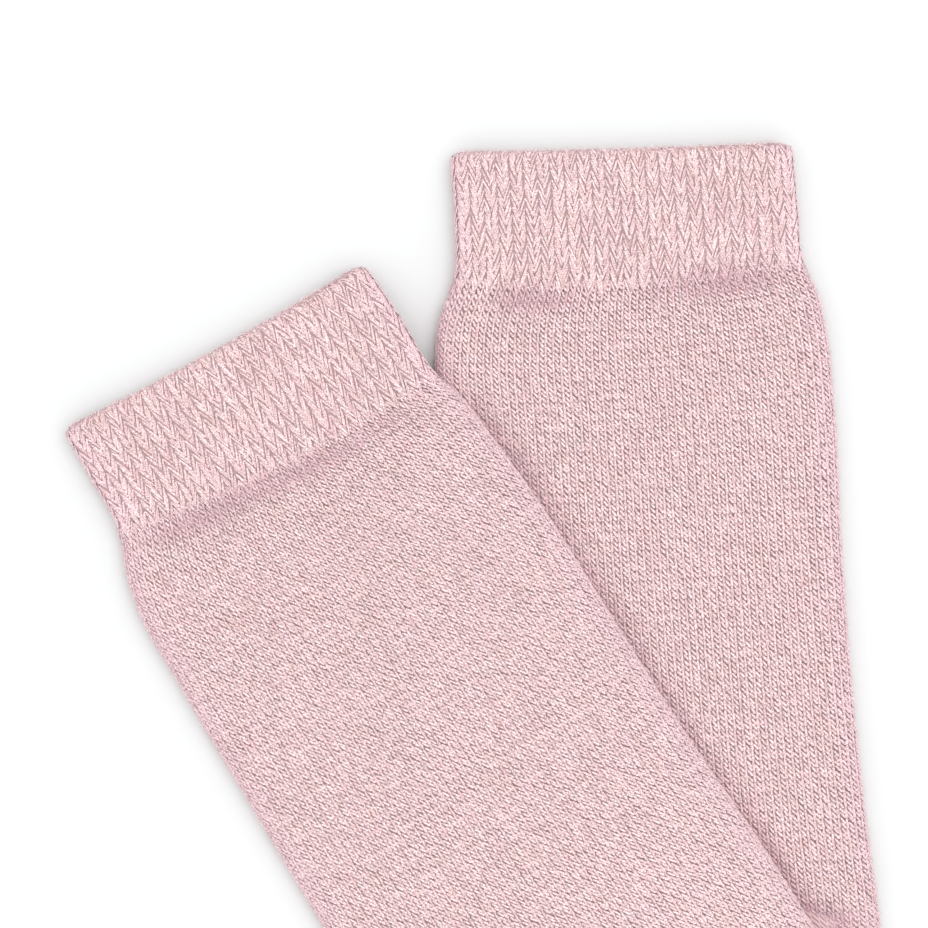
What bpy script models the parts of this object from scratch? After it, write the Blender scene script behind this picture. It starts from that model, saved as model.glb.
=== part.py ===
"""A pair of knee-high knitted wool socks, laid flat, the left one across the right one.

Each sock is one knitted tube, pressed flat: a ribbed cuff, a leg, a turned heel, a foot
and a closed toe. Every stretch is a wall of cloth round a thin slit, open at both ends
apart from the toe. Sizes are in millimetres in plan, with the socks seen from above.
"""

import math
from collections import namedtuple

import bmesh
import bpy
import numpy as np

MM = 0.001

# Cloth of the tube, its two layers pressed together but for a thin slit
WALL = 2.2
LEAST_SLIT = 0.5
LEG_THICK = 5.0
CUFF_CORE_THICK = 5.2
SEAM_GAP = 0.3
REST_GAP = 0.3

# Ribs of the cuff, one of every two wales, standing out of both faces
RIBS_ROUND = 52
RIB_RELIEF = 0.4
RIB_PROFILE = (0.0, 1.0, 1.0)
CUFF_LENGTH = 34.0
WELT_LENGTH = 1.2
WELT_DROP = 0.9

# Steps round a plain section and along each stretch
FACE_STEPS = 12
FOLD_STEPS = 4
INNER_FOLD_STEPS = 2
CUFF_RINGS = 4
LEG_RINGS = 23
HEEL_RINGS = 9
FOOT_RINGS = 7
TOE_RINGS = 7

# Heel and foot, the same on both socks
ANKLE_DOWN = 345.0
HEEL_TURN = math.radians(62.0)
INSTEP_RADIUS = 32.0
FOOT_LENGTH = 132.0
TOE_LENGTH = 44.0
TOE_BLUNT = 2.5
TOE_TIP_SHARE = 0.985
TOE_TIP_THICK = 3.4

# How the upper sock lies over the edge of the lower one
DRAPE_PLATEAU = 5.0
DRAPE_FALL = 27.0

# One row for each section of a leg: its distance down from the cuff's top, how much
# further down its right end is than its middle, its left and right edges across from
# the leg's centre line, and how far the course of stitches bows down at its middle.
LEG_COLUMNS = ("down", "tilt", "left", "right", "bow")
UPPER_LEG = (
    (0.0, 1.6, -45.0, 46.3, 1.2),
    (16.0, 2.2, -45.2, 47.3, 2.0),
    (34.0, 3.6, -46.4, 47.8, 3.4),
    (42.0, 3.5, -49.8, 50.3, 3.0),
    (54.0, 3.5, -52.7, 51.8, 2.4),
    (75.0, 3.0, -53.4, 53.6, 1.5),
    (114.0, 1.5, -53.7, 54.6, 0.0),
    (150.0, 0.5, -53.8, 55.4, 0.0),
    (190.0, 0.0, -54.4, 57.6, 0.0),
    (217.0, 0.0, -54.4, 58.0, 0.0),
    (250.0, 0.0, -52.0, 56.0, 0.0),
    (300.0, 0.0, -45.5, 49.5, 0.0),
    (345.0, 0.0, -42.0, 44.0, 0.0),
)
LOWER_LEG = (
    (0.0, 1.5, -45.4, 45.3, 0.4),
    (17.0, 1.0, -45.4, 45.8, 1.5),
    (34.0, 0.3, -47.0, 46.8, 3.4),
    (41.5, 0.0, -50.7, 49.8, 3.0),
    (52.0, 0.0, -52.8, 51.6, 2.4),
    (72.0, 0.0, -53.0, 52.5, 1.5),
    (110.0, 0.0, -53.0, 52.2, 0.5),
    (150.0, 0.0, -53.0, 52.8, 0.0),
    (180.0, 0.0, -53.5, 54.1, 0.0),
    (213.0, 0.0, -54.5, 56.3, 0.0),
    (250.0, 0.0, -52.5, 55.5, 0.0),
    (300.0, 0.0, -46.5, 49.5, 0.0),
    (345.0, 0.0, -42.0, 44.0, 0.0),
)

# Width of the flat tube from the instep's bend to the heel, by share of the turn
HEEL_COLUMNS = ("share", "width")
HEEL = (
    (0.0, 86.0),
    (0.25, 94.0),
    (0.5, 111.0),
    (0.75, 101.0),
    (1.0, 91.0),
)

# Edges of the foot, in from the instep's line, by distance ahead of the heel
FOOT_COLUMNS = ("ahead", "instep", "sole")
FOOT = (
    (0.0, 0.0, 91.0),
    (45.0, 1.0, 89.0),
    (95.0, 0.0, 91.0),
    (132.0, 1.0, 90.0),
)

# centre is the middle of the cuff's top in plan, lean the leg's angle from straight
# down towards the right, and toe_side says to which side the foot turns.
Sock = namedtuple("Sock", "name leg centre lean toe_side")
UPPER = Sock("upper", UPPER_LEG, (-67.4, 30.9), math.radians(31.0), 1)
LOWER = Sock("lower", LOWER_LEG, (41.8, 84.2), math.radians(3.5), -1)

# left and right are the two folded edges in plan, bow the vector by which the middle
# of the section is moved on, and thick the thickness of the flat tube.
Station = namedtuple("Station", "left right bow thick")

WOOL = {
    "cuff": (0.80, 0.59, 0.60),
    "leg": (0.76, 0.55, 0.56),
    "heel": (0.75, 0.54, 0.55),
    "foot": (0.76, 0.55, 0.56),
    "toe": (0.75, 0.54, 0.55),
}
WOOL_ROUGHNESS = 0.92


def eased(table, columns, name, at):
    """A smooth curve through one column of a table, read at a value of its first."""
    known = np.array([row[0] for row in table])
    values = np.array([row[columns.index(name)] for row in table])
    slopes = np.gradient(values, known)
    row = int(np.clip(np.searchsorted(known, at) - 1, 0, len(known) - 2))
    gap = known[row + 1] - known[row]
    share = (at - known[row]) / gap
    return (
        (1 + 2 * share) * (1 - share) ** 2 * values[row]
        + share * (1 - share) ** 2 * gap * slopes[row]
        + share**2 * (3 - 2 * share) * values[row + 1]
        + share**2 * (share - 1) * gap * slopes[row + 1]
    )


def smoothstep(share):
    share = np.clip(share, 0.0, 1.0)
    return share * share * (3 - 2 * share)


# ---------------------------------------------------------------- stations in plan


def down_and_across(sock):
    """The leg's two directions in plan: down along it, and across to its right."""
    down = np.array([math.sin(sock.lean), -math.cos(sock.lean)])
    across = np.array([math.cos(sock.lean), math.sin(sock.lean)])
    return down, across


def leg_station(sock, at, thick=LEG_THICK):
    down, across = down_and_across(sock)
    tilt = eased(sock.leg, LEG_COLUMNS, "tilt", at)
    left = eased(sock.leg, LEG_COLUMNS, "left", at)
    right = eased(sock.leg, LEG_COLUMNS, "right", at)
    bow = eased(sock.leg, LEG_COLUMNS, "bow", at)
    centre = np.array(sock.centre)
    return Station(
        centre + down * (at - tilt) + across * left,
        centre + down * (at + tilt) + across * right,
        down * bow,
        thick,
    )


def instep_and_heel(sock, share):
    """The pivot of the heel's turn in plan, and the direction from it to the heel."""
    down, across = down_and_across(sock)
    side = across * sock.toe_side
    edge = "right" if sock.toe_side > 0 else "left"
    instep = abs(eased(sock.leg, LEG_COLUMNS, edge, ANKLE_DOWN))
    pivot = np.array(sock.centre) + down * ANKLE_DOWN + side * (instep + INSTEP_RADIUS)
    turned = share * HEEL_TURN
    return pivot, down * math.sin(turned) - side * math.cos(turned)


def between_edges(sock, instep, sole, thick):
    """A station whose left and right ends follow from the side that the foot turns to."""
    ends = (sole, instep) if sock.toe_side > 0 else (instep, sole)
    return Station(ends[0], ends[1], np.zeros(2), thick)


def heel_station(sock, share):
    pivot, outward = instep_and_heel(sock, share)
    width = eased(HEEL, HEEL_COLUMNS, "width", share)
    instep = pivot + outward * INSTEP_RADIUS
    return between_edges(sock, instep, instep + outward * width, LEG_THICK)


def foot_frame(sock):
    """The instep's end of the turn, the way the foot points, and the way to its sole."""
    pivot, outward = instep_and_heel(sock, 1.0)
    down, across = down_and_across(sock)
    side = across * sock.toe_side
    ahead = down * math.cos(HEEL_TURN) + side * math.sin(HEEL_TURN)
    return pivot + outward * INSTEP_RADIUS, ahead, outward


def foot_station(sock, at):
    start, ahead, outward = foot_frame(sock)
    instep = start + ahead * at + outward * eased(FOOT, FOOT_COLUMNS, "instep", at)
    sole = start + ahead * at + outward * eased(FOOT, FOOT_COLUMNS, "sole", at)
    return between_edges(sock, instep, sole, LEG_THICK)


def toe_station(sock, share):
    """A section of the rounded toe; share runs from its seam to just short of its tip."""
    start, ahead, outward = foot_frame(sock)
    seam_instep = eased(FOOT, FOOT_COLUMNS, "instep", FOOT_LENGTH)
    seam_sole = eased(FOOT, FOOT_COLUMNS, "sole", FOOT_LENGTH)
    middle = (seam_instep + seam_sole) / 2
    half = (seam_sole - seam_instep) / 2 * (1 - share**TOE_BLUNT) ** (1 / TOE_BLUNT)
    on = start + ahead * (FOOT_LENGTH + share * TOE_LENGTH)
    thick = LEG_THICK + (TOE_TIP_THICK - LEG_THICK) * smoothstep((share - 0.5) / 0.5)
    return between_edges(
        sock, on + outward * (middle - half), on + outward * (middle + half), thick
    )


def outline(sock):
    """The sock's outline in plan, down its left edge and up its right one."""
    stations = [leg_station(sock, at) for at in np.linspace(0, ANKLE_DOWN, 60)]
    stations += [heel_station(sock, share) for share in np.linspace(0, 1, 16)]
    stations += [foot_station(sock, at) for at in np.linspace(0, FOOT_LENGTH, 12)]
    stations += [toe_station(sock, share) for share in np.linspace(0, TOE_TIP_SHARE, 12)]
    return np.array([s.left for s in stations] + [s.right for s in reversed(stations)])


def distance_outside(points, loop):
    """How far each point is outside a closed outline, below zero where it is inside."""
    ends = np.roll(loop, -1, axis=0)
    edge = ends - loop
    away = points[:, None, :] - loop[None, :, :]
    length = np.maximum((edge**2).sum(axis=1), 1e-12)
    share = np.clip((away * edge).sum(axis=2) / length, 0, 1)
    nearest = np.linalg.norm(away - share[:, :, None] * edge, axis=2).min(axis=1)
    x, y = points[:, 0, None], points[:, 1, None]
    crosses = (loop[:, 1] > y) != (ends[:, 1] > y)
    rise = np.where(edge[:, 1] == 0, 1.0, edge[:, 1])
    left_of = x < loop[:, 0] + (y - loop[:, 1]) * edge[:, 0] / rise
    inside = (crosses & left_of).sum(axis=1) % 2 == 1
    return np.where(inside, -nearest, nearest)


def lift_of(sock, points):
    """How high the underside lies: over the lower sock, down its edge, on the floor."""
    if sock is LOWER:
        return np.zeros(len(points))
    outside = distance_outside(points, outline(LOWER))
    fallen = smoothstep((outside - DRAPE_PLATEAU) / DRAPE_FALL)
    return (LEG_THICK + REST_GAP) * (1 - fallen)


# ---------------------------------------------------------------- sections


def plain_pattern(half_width, radius, fold_steps):
    """Even steps across both faces and round both folds, none of them raised."""
    flat = 2 * (half_width - radius)
    fold = math.pi * radius
    face = np.linspace(0, flat, FACE_STEPS + 1)
    bend = np.linspace(0, fold, fold_steps + 1)[1:-1]
    distances = [face, flat + bend, flat + fold + face, 2 * flat + fold + bend]
    distances = np.concatenate(distances)
    return distances, np.zeros(len(distances))


def outer_face(half_width, radius):
    return plain_pattern(half_width, radius, FOLD_STEPS)


def inner_face(half_width, radius):
    return plain_pattern(half_width, radius, INNER_FOLD_STEPS)


def ribs(half_width, radius):
    """Ribs all round, each a valley and the two edges of a flat crest."""
    steps = np.arange(RIBS_ROUND * len(RIB_PROFILE))
    around = 4 * (half_width - radius) + 2 * math.pi * radius
    heights = RIB_RELIEF * np.array(RIB_PROFILE)[steps % len(RIB_PROFILE)]
    return steps * around / len(steps), heights


def worn_ribs(half_width, radius):
    """The ribs where they turn over the edge and lie level."""
    distances, heights = ribs(half_width, radius)
    return distances, 0 * heights


def on_loop(half_width, radius, distance, height):
    """A point on a flat loop with round ends, pushed out by its height.

    The distance runs over the top from its left end, and back along the underside.
    """
    core = half_width - radius
    flat, fold = 2 * core, math.pi * radius
    reach = radius + height
    if distance <= flat:
        return distance - core, reach
    distance -= flat
    if distance <= fold:
        angle = math.pi / 2 - distance / radius
        return core + reach * math.cos(angle), reach * math.sin(angle)
    distance -= fold
    if distance <= flat:
        return core - distance, -reach
    angle = -math.pi / 2 - (distance - flat) / radius
    return -core + reach * math.cos(angle), reach * math.sin(angle)


def ring(sock, station, inset, pattern, floor=0.0):
    """One closed row of points round the tube, in millimetres, lying as the sock lies."""
    width = np.linalg.norm(station.right - station.left)
    half = width / 2 - inset
    radius = max(station.thick / 2 - inset, LEAST_SLIT / 2)
    distances, heights = pattern(half, radius)
    section = np.array([on_loop(half, radius, *at) for at in zip(distances, heights)])
    share = section[:, 0] / (width / 2)
    plan = (station.left + station.right) / 2
    plan = plan + share[:, None] * (station.right - station.left) / 2
    plan = plan + np.maximum(1 - share**2, 0)[:, None] * station.bow
    height = section[:, 1] + station.thick / 2 + floor + lift_of(sock, plan)
    return np.column_stack([plan, height])


# ---------------------------------------------------------------- closed walls


def add_ring(mesh, points):
    return [mesh.verts.new(point * MM) for point in points]


def skin(mesh, rings, outward):
    """Faces between rings of equal count, facing out of the cloth or into the slit."""
    for upper, lower in zip(rings, rings[1:]):
        for i in range(len(upper)):
            j = (i + 1) % len(upper)
            face = (upper[i], lower[i], lower[j], upper[j])
            mesh.faces.new(face if outward else face[::-1])


def rim(mesh, outer, inner, at_top):
    """The cut edge of the cloth: an outer row joined to an inner one, shortest way first."""
    i = j = 0
    while i < len(outer) or j < len(inner):
        here, there = outer[i % len(outer)], inner[j % len(inner)]
        next_outer, next_inner = outer[(i + 1) % len(outer)], inner[(j + 1) % len(inner)]
        across_outer = (next_outer.co - there.co).length
        across_inner = (next_inner.co - here.co).length
        if j == len(inner) or (i < len(outer) and across_outer <= across_inner):
            i += 1
            face = (here, there, next_outer)
        else:
            j += 1
            face = (here, there, next_inner)
        mesh.faces.new(face[::-1] if at_top else face)


def close(mesh, row, outward):
    """A fan of faces that closes the end of a skin."""
    middle = mesh.verts.new(np.mean([vertex.co for vertex in row], axis=0))
    for i in range(len(row)):
        face = (row[(i + 1) % len(row)], row[i], middle)
        mesh.faces.new(face if outward else face[::-1])


def wool(name):
    stretch = name.split("_")[1]
    material = bpy.data.materials.new(name + "_wool")
    material.use_nodes = True
    shader = material.node_tree.nodes["Principled BSDF"]
    shader.inputs["Base Color"].default_value = (*WOOL[stretch], 1.0)
    shader.inputs["Roughness"].default_value = WOOL_ROUGHNESS
    shader.inputs["Metallic"].default_value = 0.0
    return material


def node(name, mesh):
    """Make one named object of the pair from a finished mesh."""
    data = bpy.data.meshes.new(name)
    mesh.to_mesh(data)
    mesh.free()
    data.materials.append(wool(name))
    data.shade_smooth()
    piece = bpy.data.objects.new(name, data)
    bpy.context.collection.objects.link(piece)
    return piece


def tube(name, sock, stations):
    """A stretch of the plain tube, open at both ends."""
    mesh = bmesh.new()
    outer = [add_ring(mesh, ring(sock, s, 0, outer_face)) for s in stations]
    inner = [add_ring(mesh, ring(sock, s, WALL, inner_face)) for s in stations]
    skin(mesh, outer, True)
    skin(mesh, inner, False)
    rim(mesh, outer[0], inner[0], True)
    rim(mesh, outer[-1], inner[-1], False)
    return node(name, mesh)


def cuff(name, sock):
    """The ribbed cuff, with a rounded welt along its top."""
    mesh = bmesh.new()
    end = CUFF_LENGTH - SEAM_GAP / 2
    top = leg_station(sock, 0.0, CUFF_CORE_THICK)
    welt_in = (top.right - top.left) * WELT_DROP / np.linalg.norm(top.right - top.left)
    welt = Station(
        top.left + welt_in,
        top.right - welt_in,
        top.bow,
        CUFF_CORE_THICK - 2 * WELT_DROP,
    )
    outer = [add_ring(mesh, ring(sock, welt, 0, worn_ribs, RIB_RELIEF + WELT_DROP))]
    for at in np.linspace(WELT_LENGTH, end, CUFF_RINGS):
        station = leg_station(sock, at, CUFF_CORE_THICK)
        outer.append(add_ring(mesh, ring(sock, station, 0, ribs, RIB_RELIEF)))
    inner = []
    for at in np.linspace(0, end, CUFF_RINGS):
        station = leg_station(sock, at, CUFF_CORE_THICK)
        inner.append(add_ring(mesh, ring(sock, station, WALL, inner_face, RIB_RELIEF)))
    skin(mesh, outer, True)
    skin(mesh, inner, False)
    rim(mesh, outer[0], inner[0], True)
    rim(mesh, outer[-1], inner[-1], False)
    return node(name, mesh)


def toe(name, sock):
    """The toe, a pocket of cloth that is open only towards the foot."""
    mesh = bmesh.new()
    first = SEAM_GAP / TOE_LENGTH
    eased_out = np.sin(math.pi / 2 * np.linspace(0, 1, TOE_RINGS))
    shares_ahead = first + (TOE_TIP_SHARE - first) * eased_out
    stations = [toe_station(sock, share) for share in shares_ahead]
    outer = [add_ring(mesh, ring(sock, s, 0, outer_face)) for s in stations]
    inner = [add_ring(mesh, ring(sock, s, WALL, inner_face)) for s in stations[:-2]]
    skin(mesh, outer, True)
    skin(mesh, inner, False)
    rim(mesh, outer[0], inner[0], True)
    close(mesh, outer[-1], True)
    close(mesh, inner[-1], False)
    return node(name, mesh)


def make_sock(sock):
    half_gap = SEAM_GAP / 2
    leg_downs = np.linspace(0, 1, LEG_RINGS) ** 1.25
    leg_downs = CUFF_LENGTH + half_gap + leg_downs * (ANKLE_DOWN - SEAM_GAP - CUFF_LENGTH)
    heel_first = half_gap / (INSTEP_RADIUS * HEEL_TURN)
    heel_shares = np.linspace(heel_first, 1, HEEL_RINGS)
    foot_aheads = np.linspace(SEAM_GAP, FOOT_LENGTH, FOOT_RINGS)
    cuff(sock.name + "_cuff", sock)
    tube(sock.name + "_leg", sock, [leg_station(sock, at) for at in leg_downs])
    tube(sock.name + "_heel", sock, [heel_station(sock, share) for share in heel_shares])
    tube(sock.name + "_foot", sock, [foot_station(sock, at) for at in foot_aheads])
    toe(sock.name + "_toe", sock)


def centre_on_floor():
    """Move the pair in plan so that the middle of its box is over the origin."""
    corners = np.array(
        [v.co for piece in bpy.data.objects for v in piece.data.vertices]
    )
    middle = (corners.min(axis=0) + corners.max(axis=0)) / 2
    for piece in bpy.data.objects:
        piece.location = (-middle[0], -middle[1], 0.0)


def main():
    for old in list(bpy.data.objects):
        bpy.data.objects.remove(old)
    for sock in (LOWER, UPPER):
        make_sock(sock)
    centre_on_floor()


main()
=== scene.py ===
"""The look of a pair of knee-high knitted wool socks, laid flat, the left one across the right.

Every stretch of each sock is a shell of cloth with its stitches laid on it as short raised
strokes of yarn. Lengths are in millimetres in plan, seen from above, as in the solids.
"""

import math
from collections import namedtuple

import bpy
import numpy as np
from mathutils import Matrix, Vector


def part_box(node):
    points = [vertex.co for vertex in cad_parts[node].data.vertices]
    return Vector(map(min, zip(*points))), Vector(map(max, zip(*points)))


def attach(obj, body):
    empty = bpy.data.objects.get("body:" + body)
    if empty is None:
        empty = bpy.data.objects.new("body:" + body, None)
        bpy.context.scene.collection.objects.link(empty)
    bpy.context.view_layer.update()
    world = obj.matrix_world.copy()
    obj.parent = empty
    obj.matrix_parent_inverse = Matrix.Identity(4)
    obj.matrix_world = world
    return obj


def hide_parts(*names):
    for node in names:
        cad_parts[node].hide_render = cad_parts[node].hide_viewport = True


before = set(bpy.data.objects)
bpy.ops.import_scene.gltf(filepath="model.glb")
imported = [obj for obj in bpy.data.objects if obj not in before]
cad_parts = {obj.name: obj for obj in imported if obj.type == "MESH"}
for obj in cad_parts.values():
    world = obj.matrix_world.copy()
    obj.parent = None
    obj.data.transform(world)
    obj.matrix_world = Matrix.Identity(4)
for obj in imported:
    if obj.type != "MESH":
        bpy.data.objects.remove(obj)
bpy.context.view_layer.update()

MM = 0.001

# ---- sizes of the solids

WALL = 2.2
LEAST_SLIT = 0.5
LEG_THICK = 5.0
CUFF_CORE_THICK = 5.2
REST_GAP = 0.3
RIBS_ROUND = 52
RIB_RELIEF = 0.4
CUFF_LENGTH = 34.0
ANKLE_DOWN = 345.0
HEEL_TURN = math.radians(62.0)
INSTEP_RADIUS = 32.0
FOOT_LENGTH = 132.0
TOE_LENGTH = 44.0
TOE_BLUNT = 2.5
TOE_TIP_SHARE = 0.997
TOE_TIP_THICK = 3.4
DRAPE_PLATEAU = 5.0
DRAPE_FALL = 27.0

LEG_COLUMNS = ("down", "tilt", "left", "right", "bow")
UPPER_LEG = (
    (0, 1.6, -45, 46.3, 1.2),
    (16, 2.2, -45.2, 47.3, 2),
    (34, 3.6, -46.4, 47.8, 3.4),
    (42, 3.5, -49.8, 50.3, 3),
    (54, 3.5, -52.7, 51.8, 2.4),
    (75, 3, -53.4, 53.6, 1.5),
    (114, 1.5, -53.7, 54.6, 0),
    (150, 0.5, -53.8, 55.4, 0),
    (190, 0, -54.4, 57.6, 0),
    (217, 0, -54.4, 58, 0),
    (250, 0, -52, 56, 0),
    (300, 0, -45.5, 49.5, 0),
    (345, 0, -42, 44, 0),
)
LOWER_LEG = (
    (0, 1.5, -45.4, 45.3, 0.4),
    (17, 1, -45.4, 45.8, 1.5),
    (34, 0.3, -47, 46.8, 3.4),
    (41.5, 0, -50.7, 49.8, 3),
    (52, 0, -52.8, 51.6, 2.4),
    (72, 0, -53, 52.5, 1.5),
    (110, 0, -53, 52.2, 0.5),
    (150, 0, -53, 52.8, 0),
    (180, 0, -53.5, 54.1, 0),
    (213, 0, -54.5, 56.3, 0),
    (250, 0, -52.5, 55.5, 0),
    (300, 0, -46.5, 49.5, 0),
    (345, 0, -42, 44, 0),
)
HEEL_COLUMNS = ("share", "width")
HEEL = (
    (0, 86),
    (0.25, 94),
    (0.5, 111),
    (0.75, 101),
    (1, 91),
)
FOOT_COLUMNS = ("ahead", "instep", "sole")
FOOT = (
    (0, 0, 91),
    (45, 1, 89),
    (95, 0, 91),
    (132, 1, 90),
)

# centre is the middle of the cuff's top in plan, lean the leg's angle from straight
# down towards the right, toe_side the side that the foot turns to, and slant the angle
# between a stitch's long arm and its column of stitches.
Sock = namedtuple("Sock", "name leg centre lean toe_side slant seed")
UPPER = Sock("upper", UPPER_LEG, (-67.4, 30.9), math.radians(31.0), 1, math.radians(29.0), 11)
LOWER = Sock("lower", LOWER_LEG, (41.8, 84.2), math.radians(3.5), -1, math.radians(34.0), 5)

# ---- sizes of the knitting

WALES_ROUND = 2 * RIBS_ROUND
COURSE = 1.39
CUFF_COURSE = 2.27
HEEL_RUN = 94.0
GROUND_DEPTH = 0.42
STITCH_CREST = 0.14
WELT_RADIUS = WALL / 2
CORNER_RADIUS = 2.4
RIB_FADE = 5.0
ABOVE_WELT = 1.5

# How far the cloth puffs up beside its folds, how far in from them, and how wide
FOLD_RISE = 0.8
FOLD_CROWN = 2.5
FOLD_SPREAD = 3.6

# How far the lower sock is pressed down by the upper one, how wide, and how far under
# its edge the deepest
PRESSED = 0.85
PRESS_SPREAD = 4.5
PRESS_UNDER = 0.5

# How deep a trough must be for its painted shade to be whole, and how far in from the folds
# the nap's paler look and painted sheen reach
FULL_SHADE_DEPTH = 2.3
FOLD_NAP_AND_SHEEN = 4.5

# Where each stretch runs along the sock, from the cuff's top
HEEL_START = ANKLE_DOWN
FOOT_START = HEEL_START + HEEL_RUN
TOE_START = FOOT_START + FOOT_LENGTH
TOE_ROUND = TOE_TIP_THICK / 2
TOE_END = TOE_START + TOE_TIP_SHARE * TOE_LENGTH - TOE_ROUND

# The toe's tip, rounder than the solid's: how far its middle comes forward, over what
# length, and at which share of the toe the tube starts to thin
TIP_BULGE = 1.7
TIP_BULGE_RUN = 9.0
TIP_THINS = 0.5

# How far before the cuff's end the tube starts to thin, how far above its top the ribs
# start, and how far stitches reach over a seam
THINS_BEFORE = 2.0
RIBS_ABOVE = 2.0
SEAM_OVERLAP = 2.4

# ---- what the photo frames

FRAME_PIXELS = 928
MM_PER_PIXEL = 0.2663
LENS = 190.0
SENSOR = 36.0


def eased(table, columns, name, at):
    """A smooth curve through one column of a table, read at values of its first."""
    known = np.array([row[0] for row in table])
    values = np.array([row[columns.index(name)] for row in table])
    slopes = np.gradient(values, known)
    row = np.clip(np.searchsorted(known, at) - 1, 0, len(known) - 2)
    gap = known[row + 1] - known[row]
    share = (at - known[row]) / gap
    rest = 1 - share
    before = (1 + 2 * share) * values[row] + share * gap * slopes[row]
    after = (1 + 2 * rest) * values[row + 1] - rest * gap * slopes[row + 1]
    return rest**2 * before + share**2 * after


def smoothstep(share):
    share = np.clip(share, 0.0, 1.0)
    return share * share * (3 - 2 * share)


# ---- the run of sections

# The two folded edges in plan, the vector by which a section's middle is moved on, the
# flat tube's thickness and how far it is held off what it lies on, all along the sock.
Run = namedtuple("Run", "sock along left right bow thick floor")


def column(values):
    return np.asarray(values)[:, None]


def directions(sock):
    """The leg's two directions in plan: down along it, and across to its right."""
    down = np.array([math.sin(sock.lean), -math.cos(sock.lean)])
    across = np.array([math.cos(sock.lean), math.sin(sock.lean)])
    return down, across


def leg_edges(sock, at):
    down, across = directions(sock)
    tilt = eased(sock.leg, LEG_COLUMNS, "tilt", at)
    left = np.array(sock.centre) + column(at - tilt) * down
    right = np.array(sock.centre) + column(at + tilt) * down
    left = left + column(eased(sock.leg, LEG_COLUMNS, "left", at)) * across
    right = right + column(eased(sock.leg, LEG_COLUMNS, "right", at)) * across
    return left, right


def ordered(sock, instep, sole):
    return (sole, instep) if sock.toe_side > 0 else (instep, sole)


def heel_pivot(sock):
    down, across = directions(sock)
    side = across * sock.toe_side
    edge = "right" if sock.toe_side > 0 else "left"
    instep = abs(eased(sock.leg, LEG_COLUMNS, edge, ANKLE_DOWN))
    pivot = np.array(sock.centre) + down * ANKLE_DOWN + side * (instep + INSTEP_RADIUS)
    return pivot, down, side


def heel_edges(sock, share):
    pivot, down, side = heel_pivot(sock)
    turned = column(share * HEEL_TURN)
    outward = down * np.sin(turned) - side * np.cos(turned)
    instep = pivot + outward * INSTEP_RADIUS
    sole = instep + outward * column(eased(HEEL, HEEL_COLUMNS, "width", share))
    return ordered(sock, instep, sole)


def foot_axes(sock):
    pivot, down, side = heel_pivot(sock)
    outward = down * math.sin(HEEL_TURN) - side * math.cos(HEEL_TURN)
    ahead = down * math.cos(HEEL_TURN) + side * math.sin(HEEL_TURN)
    return pivot + outward * INSTEP_RADIUS, ahead, outward


def foot_edges(sock, at):
    start, ahead, outward = foot_axes(sock)
    on = start + column(at) * ahead
    instep = on + column(eased(FOOT, FOOT_COLUMNS, "instep", at)) * outward
    sole = on + column(eased(FOOT, FOOT_COLUMNS, "sole", at)) * outward
    return ordered(sock, instep, sole)


def toe_edges(sock, share):
    start, ahead, outward = foot_axes(sock)
    seam_instep = eased(FOOT, FOOT_COLUMNS, "instep", FOOT_LENGTH)
    seam_sole = eased(FOOT, FOOT_COLUMNS, "sole", FOOT_LENGTH)
    half = (seam_sole - seam_instep) / 2 * (1 - share**TOE_BLUNT) ** (1 / TOE_BLUNT)
    middle = (seam_instep + seam_sole) / 2
    on = start + column(FOOT_LENGTH + share * TOE_LENGTH) * ahead
    return ordered(sock, on + column(middle - half) * outward, on + column(middle + half) * outward)


# How far apart a sock's sections are, and how many its toe has
SECTION_STEP = 0.5
TOE_SECTIONS = 180


def run_of(sock):
    """All the sections of a sock, from its cuff to its toe."""
    leg = np.arange(-ABOVE_WELT, HEEL_START, SECTION_STEP)
    heel = np.arange(0, HEEL_RUN, SECTION_STEP) / HEEL_RUN
    foot = np.arange(0, FOOT_LENGTH, SECTION_STEP)
    toe = np.linspace(0, TOE_END - TOE_START, TOE_SECTIONS) / TOE_LENGTH
    edges = (
        leg_edges(sock, leg),
        heel_edges(sock, heel),
        foot_edges(sock, foot),
        toe_edges(sock, toe),
    )
    left, right = (np.concatenate(side) for side in zip(*edges))
    along = np.concatenate(
        [leg, HEEL_START + heel * HEEL_RUN, FOOT_START + foot, TOE_START + toe * TOE_LENGTH]
    )
    down, across = directions(sock)
    on_leg = eased(sock.leg, LEG_COLUMNS, "bow", np.minimum(along, ANKLE_DOWN))
    bow = np.where(along < ANKLE_DOWN, on_leg, 0.0)
    out_of_cuff = smoothstep((along - CUFF_LENGTH + THINS_BEFORE) / RIB_FADE)
    near_tip = smoothstep(((along - TOE_START) / TOE_LENGTH - TIP_THINS) / (1 - TIP_THINS))
    thick = CUFF_CORE_THICK + (LEG_THICK - CUFF_CORE_THICK) * out_of_cuff
    thick = thick + (TOE_TIP_THICK - LEG_THICK) * near_tip
    to_corner = 1 - np.clip(along / CORNER_RADIUS, 0, 1)
    rounded = column(CORNER_RADIUS * (1 - np.sqrt(1 - to_corner**2))) * across
    floor = RIB_RELIEF * (1 - out_of_cuff)
    return Run(sock, along, left + rounded, right - rounded, column(bow) * down, thick, floor)


def between(run, values, at):
    if values.ndim == 1:
        return np.interp(at, run.along, values)
    return np.stack([np.interp(at, run.along, values[:, k]) for k in range(2)], axis=-1)


def edges_at(run, at):
    return between(run, run.left, at), between(run, run.right, at)


def half_and_radius(run, at, inset=0.0):
    """Half the width and the folds' radius of the flat tube, inset into the cloth."""
    left, right = edges_at(run, at)
    width = np.linalg.norm(right - left, axis=-1)
    radius = np.maximum(between(run, run.thick, at) / 2 - inset, LEAST_SLIT / 2)
    return width / 2 - inset, radius


def girth(run, at, inset=0.0):
    half, radius = half_and_radius(run, at, inset)
    return 4 * (half - radius) + 2 * math.pi * radius


# ---- the drape over the other sock


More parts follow.
